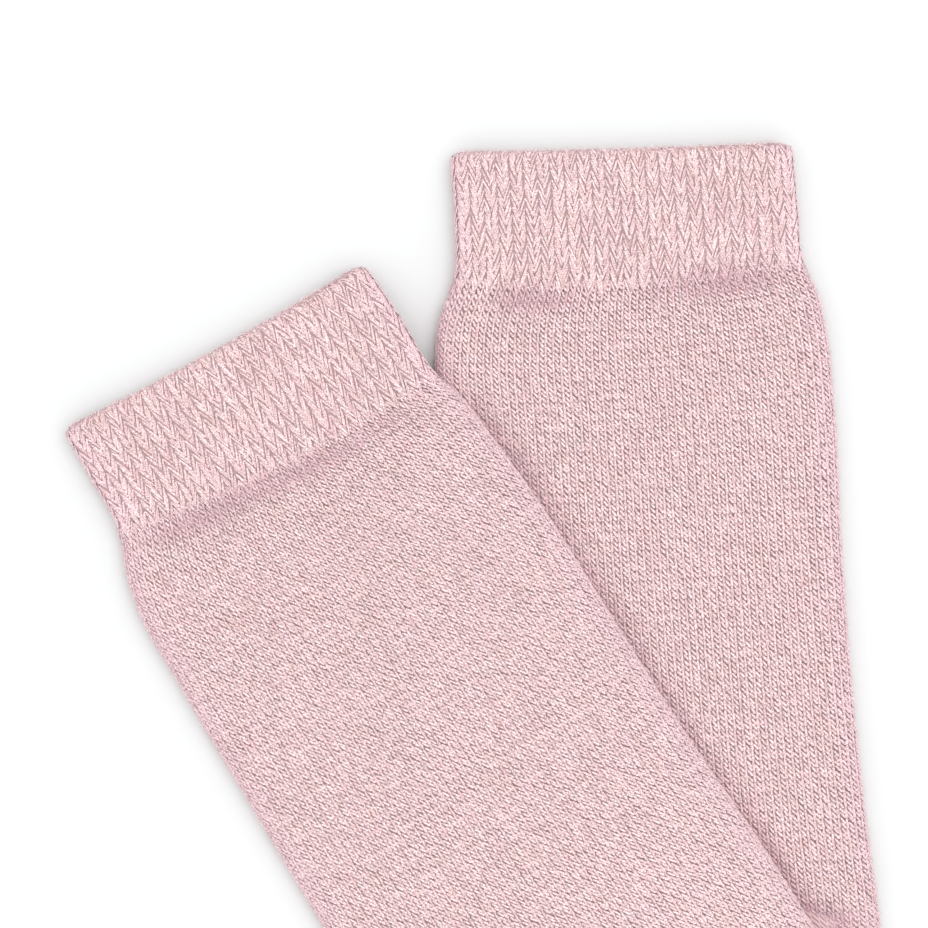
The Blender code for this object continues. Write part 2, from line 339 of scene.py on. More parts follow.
class Field:
    """Values on an even grid in plan, read between its points."""

    step = 2.0

    def __init__(self, loop, margin):
        self.low = loop.min(axis=0) - margin
        count = np.ceil((loop.max(axis=0) + margin - self.low) / self.step).astype(int) + 2
        x = self.low[0] + self.step * np.arange(count[0])
        y = self.low[1] + self.step * np.arange(count[1])
        rows = [distance_outside(np.column_stack([np.full(len(y), at), y]), loop) for at in x]
        self.values = np.array(rows)

    def at(self, points):
        spot = (points - self.low) / self.step
        most = np.array(self.values.shape) - 1.001
        spot = np.clip(spot, 0, most)
        cell = spot.astype(int)
        x, y = (spot - cell).T
        i, j = cell.T
        before = self.values[i, j] * (1 - y) + self.values[i, j + 1] * y
        after = self.values[i + 1, j] * (1 - y) + self.values[i + 1, j + 1] * y
        return before * (1 - x) + after * x


def distance_outside(points, loop):
    """How far each point is outside a closed outline, below zero where it is inside."""
    ends = np.roll(loop, -1, axis=0)
    edge = ends - loop
    away = points[:, None, :] - loop[None, :, :]
    length = np.maximum((edge**2).sum(axis=1), 1e-12)
    share = np.clip((away * edge).sum(axis=2) / length, 0, 1)
    nearest = np.linalg.norm(away - share[:, :, None] * edge, axis=2).min(axis=1)
    x, y = points[:, 0, None], points[:, 1, None]
    crosses = (loop[:, 1] > y) != (ends[:, 1] > y)
    rise = np.where(edge[:, 1] == 0, 1.0, edge[:, 1])
    left_of = x < loop[:, 0] + (y - loop[:, 1]) * edge[:, 0] / rise
    inside = (crosses & left_of).sum(axis=1) % 2 == 1
    return np.where(inside, -nearest, nearest)


# The outlines' steps to the toe and sections along it, and how far beside the drape and
# the upper sock distances are known
OUTLINE_STEP = 6.0
OUTLINE_TOE_SECTIONS = 12
BESIDE_DRAPE = 4.0
BESIDE_UPPER = 12.0


def outline(run):
    down_to_toe = np.arange(0, TOE_START, OUTLINE_STEP)
    at = np.concatenate([down_to_toe, np.linspace(TOE_START, TOE_END, OUTLINE_TOE_SECTIONS)])
    left, right = edges_at(run, at)
    return np.concatenate([left, right[::-1]])


RUNS = {sock.name: run_of(sock) for sock in (UPPER, LOWER)}
OUTSIDE_LOWER = Field(outline(RUNS["lower"]), DRAPE_PLATEAU + DRAPE_FALL + BESIDE_DRAPE)
OUTSIDE_UPPER = Field(outline(RUNS["upper"]), BESIDE_UPPER)


def lift_of(sock, plan):
    """How high the underside lies: over the lower sock, down its edge, on the floor."""
    if sock is LOWER:
        return np.zeros(len(plan))
    fallen = smoothstep((OUTSIDE_LOWER.at(plan) - DRAPE_PLATEAU) / DRAPE_FALL)
    return (LEG_THICK + REST_GAP) * (1 - fallen)


# ---- soft troughs and ridges

# One row for each soft hollow or swelling of the upper face: how far down the sock and
# across from its centre line its middle is, how far it is turned from straight across,
# its half-length and half-width, and its height, below zero for a trough.
CREASE_COLUMNS = ("down", "across", "turn", "reach", "spread", "height")
UPPER_CREASES = (
    (37.4, -28, 2, 28, 4.2, -1.7),
    (37, 10, -2, 20, 3.6, -1.3),
    (36.8, 34, -4, 12, 2.4, -0.6),
    (27, 8, 0, 26, 5, 0.4),
    (8, -30, 0, 16, 7, -0.3),
    (42, 20, 40, 5, 3, 0.4),
    (47, 2, 70, 9, 2.6, -0.3),
    (44, -22, 84, 10, 2.4, -0.25),
    (43, -36, 95, 9, 2.2, 0.25),
    (90, 30, 62, 34, 9, -0.35),
    (128, -18, 108, 38, 10, 0.3),
    (170, 12, 78, 40, 11, -0.3),
    (250, -14, 84, 46, 10, -0.5),
    (318, 10, 12, 26, 5, -0.6),
    (334, -6, -8, 24, 4.5, 0.5),
    (372, 22, 24, 22, 4, -0.8),
    (396, 18, 4, 24, 4, -0.7),
    (420, 24, -18, 20, 4, -0.7),
    (490, 0, 84, 36, 9, -0.4),
)
LOWER_CREASES = (
    (36.9, -27, 2, 13, 4.2, -1.8),
    (34.8, 26, -2, 19, 4.8, -2),
    (35.6, 2, 0, 10, 2, -0.3),
    (25, -14, 0, 24, 4.5, 0.5),
    (14, 22, -30, 20, 5, -0.7),
    (82, -31, -62, 20, 4.5, -0.6),
    (193, 28, -62, 14, 4, -0.6),
    (209.5, 42, 4, 22, 5.5, -2),
    (44, 42, 80, 14, 3.5, -0.4),
    (42, -38, 84, 9, 2.6, 0.3),
    (43, 8, 92, 10, 2.6, -0.25),
    (76, 2, 34, 18, 8, -0.35),
    (96, -24, 70, 30, 8, 0.25),
    (130, 42, 88, 46, 4.5, -0.45),
    (190, 14, 82, 34, 9, 0.3),
    (262, 12, 96, 44, 10, -0.5),
    (320, -8, -10, 26, 5, -0.6),
    (336, 8, 6, 24, 4.5, 0.5),
    (374, -22, -24, 22, 4, -0.8),
    (397, -18, -4, 24, 4, -0.7),
    (421, -24, 18, 20, 4, -0.7),
    (486, 2, 94, 36, 9, -0.4),
)
CREASES = {"upper": UPPER_CREASES, "lower": LOWER_CREASES}


def creased(sock, along, across):
    """The height of the soft creases at places on a sock's upper face."""
    height = np.zeros(len(along))
    for row in CREASES[sock.name]:
        crease = dict(zip(CREASE_COLUMNS, row))
        turn = math.radians(crease["turn"])
        down, over = along - crease["down"], across - crease["across"]
        lengthways = over * math.cos(turn) - down * math.sin(turn)
        sideways = over * math.sin(turn) + down * math.cos(turn)
        shape = (lengthways / crease["reach"]) ** 2 + (sideways / crease["spread"]) ** 2
        height += crease["height"] * np.exp(-shape)
    return height


def on_loop(half, radius, distance, height):
    """Points on flat loops with round ends, pushed out by their heights.

    The distance runs over the top from its left end and down the right fold, and then
    back along the underside, which is the same half turned round.
    """
    core = half - radius
    flat, fold = 2 * core, math.pi * radius
    distance = np.mod(distance, 2 * flat + 2 * fold)
    below = distance > flat + fold
    distance = np.where(below, distance - flat - fold, distance)
    turned = np.clip((distance - flat) / radius, 0, math.pi)
    x = np.minimum(distance, flat) - core + (radius + height) * np.sin(turned)
    z = (radius + height) * np.cos(turned)
    return np.where(below, -x, x), np.where(below, -z, z)


def settled(run, along, wale, height, inset=0.0):
    """Points from places on a sock counted in stitches round it, and two shares from 0 to 1.

    They say how much painted shade the cloth has there, and how near it is to a fold.
    """
    along, wale, height = np.broadcast_arrays(along, wale, height)
    shape = along.shape
    along, wale, height = along.ravel(), wale.ravel(), height.ravel()
    rolled = np.clip((WELT_RADIUS - along) / WELT_RADIUS, 0, math.pi)
    over_welt = WELT_RADIUS - (WELT_RADIUS + height) * np.sin(rolled)
    along = np.where(rolled > 0, over_welt, along)
    inset = inset + WELT_RADIUS * (1 - np.cos(rolled))
    height = height * np.cos(rolled)
    half, radius = half_and_radius(run, along, inset)
    x, z = on_loop(half, radius, wale / WALES_ROUND * girth(run, along, inset), height)
    left, right = edges_at(run, along)
    half_width = np.linalg.norm(right - left, axis=1) / 2
    share = x / half_width
    plan = (left + right) / 2 + column(share) * (right - left) / 2
    plan = plan + column(np.maximum(1 - share**2, 0)) * between(run, run.bow, along)
    thick = between(run, run.thick, along)
    up = z + thick / 2 + between(run, run.floor, along) + lift_of(run.sock, plan)
    facing_up = smoothstep(z / (thick / 2)) * (1 - inset / WALL)
    inward = half - radius - np.abs(x)
    puffed = np.exp(-(((inward - FOLD_CROWN) / FOLD_SPREAD) ** 2))
    crease_height = creased(run.sock, along, x) + FOLD_RISE * puffed
    if run.sock is LOWER:
        beside = (OUTSIDE_UPPER.at(plan) + PRESS_UNDER) / PRESS_SPREAD
        crease_height = crease_height - PRESSED * np.exp(-(beside**2))
    up = np.maximum(up + facing_up * crease_height, 0.0)
    # Painted shade: how much rose shade the troughs and the upper sock's press give the colour
    hollow = facing_up * smoothstep(-crease_height / FULL_SHADE_DEPTH)
    folding = 1 - smoothstep(inward / FOLD_NAP_AND_SHEEN)
    points = np.column_stack([plan, up]).reshape(shape + (3,))
    return points, hollow.reshape(shape), folding.reshape(shape)


def place(run, along, wale, height, inset=0.0):
    return settled(run, along, wale, height, inset)[0]


# At how many places down the leg its edges are read
LEG_SAMPLES = 200


def frame_offset():
    """From the plan's middle to the frame's, found where the upper leg is in the frame."""
    run = RUNS["upper"]
    at = np.linspace(CUFF_LENGTH, ANKLE_DOWN, LEG_SAMPLES)
    edges = np.concatenate(edges_at(run, at))
    middle = (edges.min(axis=0) + edges.max(axis=0)) / 2
    low, high = (np.array(corner)[:2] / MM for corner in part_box("upper_leg"))
    return (low + high) / 2 - middle


OFFSET = frame_offset()

# ---- meshes


def mesh_of(name, points, faces, uv, floats):
    """A smooth mesh from points in millimetres, faces of equal count and values by name."""
    data = bpy.data.meshes.new(name)
    points = (points + np.array([OFFSET[0], OFFSET[1], 0.0])) * MM
    corners = faces.shape[1]
    data.vertices.add(len(points))
    data.loops.add(faces.size)
    data.polygons.add(len(faces))
    data.vertices.foreach_set("co", points.astype(np.float32).ravel())
    data.loops.foreach_set("vertex_index", faces.astype(np.int32).ravel())
    data.polygons.foreach_set("loop_start", np.arange(0, faces.size, corners, dtype=np.int32))
    data.polygons.foreach_set("use_smooth", np.ones(len(faces), dtype=bool))
    data.update(calc_edges=True)
    for layer, values in uv.items():
        data.uv_layers.new(name=layer).data.foreach_set("uv", values.astype(np.float32).ravel())
    for layer, values in floats.items():
        attribute = data.attributes.new(layer, "FLOAT", "POINT")
        attribute.data.foreach_set("value", values.astype(np.float32))
    data.validate()
    return data


def linked(name, data):
    made = bpy.data.objects.new(name, data)
    bpy.context.collection.objects.link(made)
    return made


def piece_of(name, data, material):
    """One piece of the pair, which rides on its only body."""
    piece = linked(name, data)
    data.materials.append(material)
    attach(piece, "root")
    return piece


# ---- strokes of yarn

# A stroke is a short raised length of yarn: where it starts and ends, in stitches round
# the sock and millimetres along it, half its width, and the heights of its crest, of its
# edges and of its two tips above the tube, and how strongly its crest is painted with a
# white highlight, from 0 to 1.
Strokes = namedtuple("Strokes", "wale along end_wale end_along half crest edge tip white")

# For strokes of two or three sections, one row for each: its share of the way, how far it
# swells, and how far its edges close up to the next stroke, which lifts them and takes away
# some of their painted shade
SECTIONS = {
    2: ((0.22, 0.90, 0.0), (0.78, 1.0, 0.7)),
    3: ((0.14, 0.85, 1.0), (0.5, 1.0, 1.6), (0.86, 0.9, 1.6)),
}
CLOSED_EDGE = 0.32
CLOSED_RISE = 0.09
TIP_CREST = 0.25

UV_MARGIN = 0.01


def joined(parts):
    """Several tables of strokes as one."""
    return Strokes(*(np.concatenate(columns) for columns in zip(*parts)))


def kept(strokes, keep):
    """Those strokes for which keep is true."""
    return Strokes(*(values[keep] for values in strokes))


def strand_mesh(name, placed, faces, corners, crest, tone, white):
    """Strokes or fibres as one mesh: the same few faces for each, and what colours them."""
    points, hollow, folding = placed
    count, each = hollow.shape
    faces = (np.arange(count)[:, None, None] * each + np.array(faces)).reshape(-1, 3)
    return mesh_of(
        name,
        points.reshape(-1, 3),
        faces,
        {"OFBake": corners[faces.ravel()]},
        {
            "crest": crest.ravel(),
            "tone": np.repeat(tone, each),
            "white": np.repeat(white, each),
            "hollow": hollow.ravel(),
            "folding": folding.ravel(),
        },
    )


def yarn_mesh(name, run, strokes, sections, arch=None):
    """A mesh of strokes, each with a crest and two edges at a few sections and two tips."""
    pitch = girth(run, (strokes.along + strokes.end_along) / 2) / WALES_ROUND
    over, down = strokes.end_wale - strokes.wale, strokes.end_along - strokes.along
    half = strokes.half / np.hypot(over * pitch, down)
    points = [(0.0, 0.0, strokes.tip, TIP_CREST)]
    for share, swell, closing in SECTIONS[sections]:
        edge, closed = strokes.edge + CLOSED_RISE * closing, CLOSED_EDGE * closing
        points.append((share, -swell, edge, closed))
        points.append((share, 0.0, edge + swell * (strokes.crest - edge), 1.0))
        points.append((share, swell, edge, closed))
    points.append((1.0, 0.0, strokes.tip, TIP_CREST))
    shares, sides, heights, crests = (np.array(values) for values in zip(*points))
    wales = column(strokes.wale) + column(over) * shares + column(half * down / pitch) * sides
    alongs = column(strokes.along) + column(down) * shares - column(half * over * pitch) * sides
    heights, crests = heights.T, np.tile(crests, (len(wales), 1))
    if arch is not None:
        heights = heights + arch(wales, alongs)
    faces = [(0, 1, 2), (0, 2, 3)]
    for k in range(sections - 1):
        a, b, c = 1 + 3 * k, 2 + 3 * k, 3 + 3 * k
        faces += [(a, a + 3, b + 3), (a, b + 3, b), (b, b + 3, c + 3), (b, c + 3, c)]
    last = wales.shape[1] - 1
    faces += [(last - 3, last, last - 2), (last - 2, last, last - 1)]
    corners = np.stack([wales.ravel(), alongs.ravel()], axis=1)
    low, high = corners.min(axis=0), corners.max(axis=0)
    corners = UV_MARGIN + (1 - 2 * UV_MARGIN) * (corners - low) / (high - low)
    tone = np.random.default_rng(run.sock.seed).random(len(wales))
    placed = settled(run, alongs, wales, heights)
    return strand_mesh(name, placed, faces, corners, crests, tone, strokes.white)


# ---- stitches of each stretch

# The columns that have strokes, and over how many the cloth rises to its bare underside
FIRST_WALE = -5
LAST_WALE = 55
FOLD_WALES = 7

# What is added to a sock's seed for its ribs, toe, heel and nap
RIB_SEED = 1
TOE_SEED = 3
HEEL_SEED = 40
NAP_SEED = 70

# The most by which chance shifts a stroke's start, end, width, crest and painted highlight
Shifts = namedtuple("Shifts", "over down end_over end_down width crest white")

# The strokes of a plain stitch: start, end and half width in stitches, heights, painted highlight
Arm = namedtuple("Arm", "start end half crest edge tip white shifts")
SLANTED_SHIFTS = Shifts(0.06, 0.16, 0.07, 0.24, 0.14, 0.06, 0.25)
UPRIGHT_SHIFTS = Shifts(0.03, 0.10, 0.03, 0.10, 0.15, 0.05, 0.25)
SLANTED = Arm(0.18, 0.85, 0.25, 0.02, -0.22, -0.26, 0.75, SLANTED_SHIFTS)
UPRIGHT = Arm(-0.04, 0.05, 0.20, -0.03, -0.25, -0.12, 0.25, UPRIGHT_SHIFTS)

# How far the slanted one falls, as a share of the pitch, and the upright one, in courses
SLANT_SHARE = 0.62
UPRIGHT_COURSES = 2.5

# How deep under the upper sock stitches are left out
HIDDEN_UNDER = 7.0

# The heel's zones, between these columns, and how much longer their arcs are than chords
HEEL_ZONES = (FIRST_WALE, 9, 19, 31, 43, LAST_WALE)
HEEL_ARC = 1.02

# How far strokes reach over the toe's rim and past its end
OVER_RIM = 2.2
PAST_TOE = 0.4


def shifter(seed, count):
    """What gives chance shifts of up to a size, one for each of a number of strokes."""
    random = np.random.default_rng(seed)
    return lambda most: random.uniform(-most, most, count)


def arm_strokes(arm, wales, alongs, fall, half, shift):
    """The same arm of every stitch."""
    most = arm.shifts
    return Strokes(
        wales + arm.start + shift(most.over),
        alongs + shift(most.down),
        wales + arm.end + shift(most.end_over),
        alongs + fall + shift(most.end_down),
        half * (1 + shift(most.width)),
        STITCH_CREST + arm.crest + shift(most.crest),
        np.full(len(wales), arm.edge),
        np.full(len(wales), arm.tip),
        arm.white + shift(most.white),
    )


def stitch_strokes(run, wales, alongs, course, seed):
    """The arms of plain stitches: one slanted each, and one along the column for two."""
    shift = shifter(seed, len(wales))
    pitch = girth(run, alongs) / WALES_ROUND
    fall = SLANT_SHARE * pitch / math.tan(run.sock.slant) * course / COURSE
    half = SLANTED.half * math.sqrt(math.sin(run.sock.slant)) * pitch
    slanted = arm_strokes(SLANTED, wales, alongs, fall, half, shift)
    fall, half = UPRIGHT_COURSES * course, UPRIGHT.half * pitch
    upright = arm_strokes(UPRIGHT, wales, alongs, fall, half, shift)
    every_other = np.round((alongs - alongs.min()) / course) % 2 == 0
    return joined([slanted, kept(upright, every_other)])


def shown(run, wales, alongs):
    """Which stitches aren't well under the other sock."""
    if run.sock is UPPER:
        return np.full(len(wales), True)
    plan = place(run, alongs, wales, 0.0)[:, :2]
    return OUTSIDE_UPPER.at(plan) > -HIDDEN_UNDER


def laid_out(run, start, end, courses, first=FIRST_WALE, last=LAST_WALE):
    """Where the stitches of even courses are, and how long a course is."""
    course = (end - start) / courses
    wales, alongs = np.meshgrid(np.arange(first, last), start + course * np.arange(courses))
    wales, alongs = wales.ravel().astype(float), alongs.ravel()
    seen = shown(run, wales, alongs)
    return wales[seen], alongs[seen], course


def plain_knitting(name, run, start, end):
    wales, alongs, course = laid_out(run, start, end, int(round((end - start) / COURSE)))
    seed = run.sock.seed + int(start)
    return yarn_mesh(name, run, stitch_strokes(run, wales, alongs, course, seed), 2)


def heel_knitting(name, run, start, end):
    """The heel's stitches, with more courses towards its outside, where it turns wider."""
    parts = []
    for first, last in zip(HEEL_ZONES[:-1], HEEL_ZONES[1:]):
        middle = place(run, np.array([start, (start + end) / 2, end]), (first + last) / 2, 0.0)
        chords = np.linalg.norm(np.diff(middle[:, :2], axis=0), axis=1)
        courses = int(round(chords.sum() * HEEL_ARC / COURSE))
        wales, alongs, course = laid_out(run, start, end, courses, first, last)
        if len(wales):
            seed = run.sock.seed + first + HEEL_SEED
            parts.append(stitch_strokes(run, wales, alongs, course, seed))
    return yarn_mesh(name, run, joined(parts), 2)


def toe_knitting(name, run, start, end):
    """Straight columns on the toe, each ending where the rounded edge crosses it."""
    wales, alongs, course = laid_out(run, start, end, int(round((end - start) / COURSE)))
    pitch = girth(run, start) / WALES_ROUND
    half, radius = half_and_radius(run, start)
    across = (wales - (half - radius) / pitch) * pitch
    half, radius = half_and_radius(run, alongs)
    inside = np.abs(across) < half - radius + OVER_RIM
    wales = (across + half - radius) / (girth(run, alongs) / WALES_ROUND)
    seed = run.sock.seed + TOE_SEED
    strokes = stitch_strokes(run, wales[inside], alongs[inside], course, seed)
    return yarn_mesh(name, run, kept(strokes, strokes.end_along < end + PAST_TOE), 2)


# One row for each ply of a rib's stitch: the side of the rib's crest it falls to, how
# many wales it starts off that crest and goes across, how many courses it falls, how far
# down it starts, half its width and how strongly its crest is painted with a white highlight.
PLY_COLUMNS = ("side", "off", "across", "falls", "start", "half", "white")
PLIES = (
    (1, 0.00, 1.04, 1.95, 0, 0.30, 0.42),
    (1, 0.12, 0.92, 1.85, 0.95, 0.28, 0.12),
    (-1, 0.00, 1.04, 2.20, 0.15, 0.29, 0.34),
    (-1, 0.12, 0.92, 2.05, 1.10, 0.27, 0.08),
)
PLY_SHIFTS = Shifts(0.10, 0.36, 0.16, 0.50, 0.22, 0.07, 0.30)

# A ply's heights: its crest under the ribs' relief, its edges and their shift, its tips
PLY_CREST_UNDER = 0.08
PLY_EDGE = 0.06
PLY_EDGE_SHIFT = 0.03
PLY_TIP = 0.02

# How high and how round the plies arch over a rib
RIB_ARCH = 0.16
RIB_ARCH_ROUND = 0.7


def rib_arch(wales, alongs):
    """How the strokes follow the rounded back of each rib, fading into the leg."""
    rib = np.mod(wales / 2, 1.0)
    fade = 1 - smoothstep((alongs - CUFF_LENGTH + RIB_FADE) / RIB_FADE)
    return fade * (RIB_ARCH * np.sin(math.pi * rib) ** RIB_ARCH_ROUND - RIB_ARCH)


def rib_knitting(name, run, end):
    """Stitches of the ribs, each of plies that fall from the rib's crest to both sides."""
    courses = int(round((end + RIBS_ABOVE) / CUFF_COURSE))
    course = (end + RIBS_ABOVE) / courses
    ribs, alongs = np.meshgrid(np.arange(RIBS_ROUND), course * np.arange(courses) - RIBS_ABOVE)
    middles, alongs = 2.0 * ribs.ravel() + 1.0, alongs.ravel()
    shift = shifter(run.sock.seed + RIB_SEED, len(middles))
    most = PLY_SHIFTS
    parts = []
    for row in PLIES:
        ply = dict(zip(PLY_COLUMNS, row))
        start_wale = middles + ply["side"] * ply["off"] + shift(most.over)
        start_along = alongs + ply["start"] + shift(most.down)
        parts.append(
            Strokes(
                start_wale,
                start_along,
                start_wale + ply["side"] * ply["across"] + shift(most.end_over),
                start_along + ply["falls"] * course + shift(most.end_down),
                ply["half"] * (1 + shift(most.width)),
                RIB_RELIEF - PLY_CREST_UNDER + shift(most.crest),
                PLY_EDGE + shift(PLY_EDGE_SHIFT),
                np.full(len(middles), PLY_TIP),
                np.clip(ply["white"] + shift(most.white), 0.0, 1.0),
            )
        )
    strokes = joined(parts)
    strokes = kept(strokes, strokes.end_along < end + SEAM_OVERLAP)
    return yarn_mesh(name, run, strokes, 3, rib_arch)


# ---- loose fibres

# How many there are, the share of them on the folds' silhouettes and how near to these,
# and those on the cuff's top edge: how many, between which columns and how far down
FIBRES_PER_MM = 26.0
FIBRES_ON_FOLDS = 0.6
FOLD_SILHOUETTES = (-2.0, 50.5)
SILHOUETTE_SPREAD = 1.8
WELT_FIBRES = 700
WELT_WALES = (-2.0, 50.0)
WELT_BAND = (-1.2, 0.6)

# A fibre's size, root and painted white highlight, and the ranges of its length, rise and bend
FIBRE_HALF_WIDTH = 0.04
FIBRE_LENGTH = 1.1
FIBRE_ROOT = STITCH_CREST - 0.1
FIBRE_WHITE = 0.8
LENGTH_SHARES = (0.4, 1.6)
RISE_SHARES = (0.25, 0.75)
MOST_BEND = 0.7

# A fibre's five points, two at its root, two at its bend and one at its tip: their sides,
# and their shares of the way to the bend, of the way from there on, and of the rise
FIBRE_SIDES = np.array([-1, 1, -1, 1, 0])
TO_BEND = np.array([0, 0, 1, 1, 1])
TO_TIP = np.array([0, 0, 0, 0, 1])
RISEN = np.array([0, 0, 0.7, 0.7, 1])
FIBRE_FACES = ((0, 1, 3), (0, 3, 2), (2, 3, 4))
FIBRE_UV_MARGIN = 2.0


def loose_fibres(name, run, start, end):
    """Fibres of the nap, each a narrow bent blade that stands off the cloth."""
    random = np.random.default_rng(run.sock.seed + int(start) + NAP_SEED)
    count = int(FIBRES_PER_MM * (end - start))
    wales = random.uniform(FIRST_WALE, LAST_WALE, count)
    alongs = random.uniform(start, end, count)
    on_fold = random.random(count) < FIBRES_ON_FOLDS
    silhouette = random.choice(FOLD_SILHOUETTES, count)
    silhouette = silhouette + random.uniform(-SILHOUETTE_SPREAD, SILHOUETTE_SPREAD, count)
    wales = np.where(on_fold, silhouette, wales)
    if start == 0:
        wales = np.concatenate([wales, random.uniform(*WELT_WALES, WELT_FIBRES)])
        alongs = np.concatenate([alongs, random.uniform(*WELT_BAND, WELT_FIBRES)])
    seen = shown(run, wales, alongs)
    wales, alongs = wales[seen], alongs[seen]
    count = len(wales)
    heading = random.uniform(0.0, 2 * math.pi, count)
    length = FIBRE_LENGTH * random.uniform(*LENGTH_SHARES, count)
    rise = random.uniform(*RISE_SHARES, count) * length
    bent = heading + random.uniform(-MOST_BEND, MOST_BEND, count)

    def spread(sideways, to_bend, to_tip):
        """How far the five points are from a fibre's place, in one of two directions."""
        to_bend, to_tip = to_bend * length / 2, to_tip * length / 2
        sides = column(sideways * FIBRE_HALF_WIDTH) * FIBRE_SIDES
        return sides + column(to_bend) * TO_BEND + column(to_tip) * TO_TIP

    over = spread(-np.sin(heading), np.cos(heading), np.cos(bent))
    down = spread(np.cos(heading), np.sin(heading), np.sin(bent))
    at_wale = column(wales) + over / column(girth(run, alongs) / WALES_ROUND)
    at_along = column(alongs) + down
    heights = FIBRE_ROOT + column(rise) * RISEN
    corners = np.stack([at_wale.ravel() - FIRST_WALE, at_along.ravel() - start], axis=1)
    corners = corners + FIBRE_UV_MARGIN
    corners = np.clip(corners / (corners.max(axis=0) + FIBRE_UV_MARGIN), 0.0, 1.0)
    placed = settled(run, at_along, at_wale, heights)
    crest = np.full(heights.shape, FIBRE_WHITE)
    tone = random.random(count)
    return strand_mesh(name, placed, FIBRE_FACES, corners, crest, tone, crest[:, 0])


# ---- shells of cloth

# The ribs' backs: their rise, their valleys' depth, how round they are, and over what
# length they rise out of the welt
RIB_BACK = 0.34
RIB_VALLEY = 0.36
RIB_BACK_ROUND = 0.8
RIBS_RISE_OVER = 3.0

# How fine the shells are down each stretch, round a rib, over the welt and down the toe
CUFF_RING_STEP = 1.5
LEG_RING_STEP = 2.4
FOOT_RING_STEP = 2.6
POINTS_PER_RIB = 4
WELT_RINGS = 9
TOE_RINGS = 22

# The turns of the rings round the toe's tip, in degrees, how far before it the inside
# closes, how bare its top is, and the least step between rings laid out flat
TIP_TURNS = (18.0, 36.0, 54.0, 72.0, 86.0)
TOE_CLOSES_BEFORE = 1.5 * WALL
TOE_TOP_BARE = 0.5
LEAST_STEP = 0.4


def ground_height(wales, alongs):
    """How far the cloth between the strokes lies in, and nothing on the bare underside."""
    wales = np.mod(wales + WALES_ROUND / 4, WALES_ROUND) - WALES_ROUND / 4
    into_left = smoothstep((wales - FIRST_WALE) / FOLD_WALES)
    into_right = smoothstep((LAST_WALE - wales) / FOLD_WALES)
    return -GROUND_DEPTH * into_left * into_right


def cuff_ground_height(wales, alongs):
    """The ribs' backs, fading where they meet the welt and the leg."""
    back = RIB_BACK * np.sin(math.pi * np.mod(wales / 2, 1.0)) ** RIB_BACK_ROUND
    ribbed = (back - RIB_VALLEY) * smoothstep((alongs + RIBS_ABOVE) / RIBS_RISE_OVER)
    into_leg = smoothstep((alongs - CUFF_LENGTH + RIB_FADE) / RIB_FADE)
    return ribbed + into_leg * (ground_height(wales, alongs) - ribbed)


def flat(wales, alongs):
    return np.zeros(wales.shape)


def underside(wales):
    """1 where the cloth has no strokes of yarn on it and 0 where it has."""
    return 1 + ground_height(wales, 0.0) / GROUND_DEPTH


def toe_underside(wales):
    """As the underside, and half bare on top, where the toe's edge has few strokes."""
    return np.maximum(underside(wales), TOE_TOP_BARE)


def nowhere_bare(wales):
    return np.zeros(wales.shape)


def ring_faces(rings, count):
    """Quads between rings of equal count, running round the tube."""
    i = np.arange(count)
    j = (i + 1) % count
    upper = (np.arange(rings - 1) * count)[:, None]
    lower = upper + count
    return np.stack([upper + i, lower + i, lower + j, upper + j], axis=2).reshape(-1, 4)


def skin(run, alongs, steps, heights, inset):
    """Rings of points round the tube, at the heights that a function gives."""
    wales = np.arange(steps) * WALES_ROUND / steps
    alongs, wales = np.meshgrid(alongs, wales, indexing="ij")
    return place(run, alongs, wales, heights(wales, alongs), inset)


def unrolled(travelled, count):
    """Corners of ring_faces laid out flat, with a margin before the first and after the last."""
    share = UV_MARGIN + (1 - 2 * UV_MARGIN) * travelled / travelled[-1]
    i = np.arange(count)
    left, right = i / count, (i + 1) / count
    top, bottom = share[:-1, None] + 0 * left, share[1:, None] + 0 * left
    left, right = left + 0 * top, right + 0 * top
    corners = [(left, top), (left, bottom), (right, bottom), (right, top)]
    return np.stack([np.stack(c, axis=-1) for c in corners], axis=2).reshape(-1, 2)


def shell_of_rings(name, rings, places, outer_rings, bare):
    """Join rings, the last of which is the first again, into one closed mesh."""
    rings = np.array(rings[:-1])
    count, steps = rings.shape[:2]
    faces = ring_faces(count + 1, steps) % (count * steps)
    travelled = np.cumsum(np.maximum(np.abs(np.diff(places)), LEAST_STEP))
    corners = unrolled(np.concatenate([[0.0], travelled]), steps)
    wale = np.tile(np.arange(steps) * WALES_ROUND / steps, count)
    on_outside = np.repeat(np.arange(count) < outer_rings, steps)
    stitches = corners * [WALES_ROUND, 0.0]
    course = np.stack([places[:-1], places[1:], places[1:], places[:-1]], axis=1) / COURSE
    stitches[:, 1] = np.repeat(course, steps, axis=0).reshape(-1)
    return mesh_of(
        name,
        rings.reshape(-1, 3),
        faces,
        {"OFBake": corners, "Stitches": stitches},
        {"bare": np.where(on_outside, bare(wale), 1.0)},
    )


def even_steps(start, end, step):
    return np.linspace(start, end, int(round((end - start) / step)) + 1)


def plain_shell(name, run, start, end, step):
    """A plain stretch's cloth: an outer skin, an inner one, and edges that join the two."""
    alongs = even_steps(start, end, step)
    outer = skin(run, alongs, WALES_ROUND, ground_height, 0.0)
    inner = skin(run, alongs, WALES_ROUND, flat, WALL)
    rings = [*outer, *inner[::-1], outer[0]]
    places = np.concatenate([alongs, alongs[::-1], alongs[:1]])
    return shell_of_rings(name, rings, places, len(alongs), underside)


